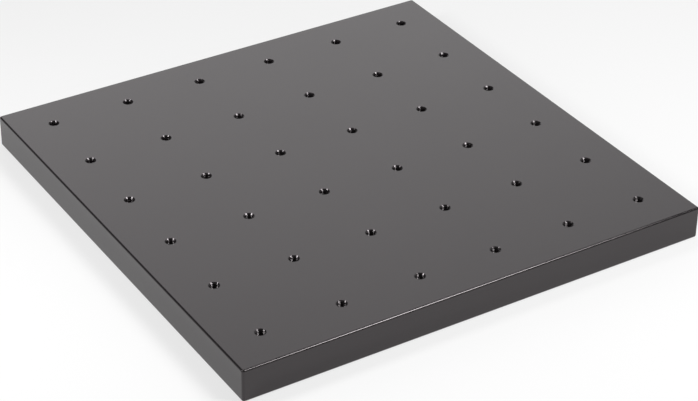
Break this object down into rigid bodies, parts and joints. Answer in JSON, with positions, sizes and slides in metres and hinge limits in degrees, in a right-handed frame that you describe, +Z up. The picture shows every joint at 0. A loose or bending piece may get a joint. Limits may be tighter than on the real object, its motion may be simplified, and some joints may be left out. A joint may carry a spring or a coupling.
{
  "type": "base plate",
  "caption": "Square black anodised aluminium base plate with rounded edges and an even grid of tapped through holes for clamps, stops and fixtures.",
  "frame": {"origin": "centre of the underside", "axes": "+Z up out of the top face, +X to the right along the front edge, +Y towards the back"},
  "size_m": [0.3, 0.3, 0.02],
  "materials": {
    "anodised_aluminium": "fine satin, black anodised"
  },
  "bodies": {
    "root": {"base_plate": "anodised_aluminium"}
  },
  "joints": []
}
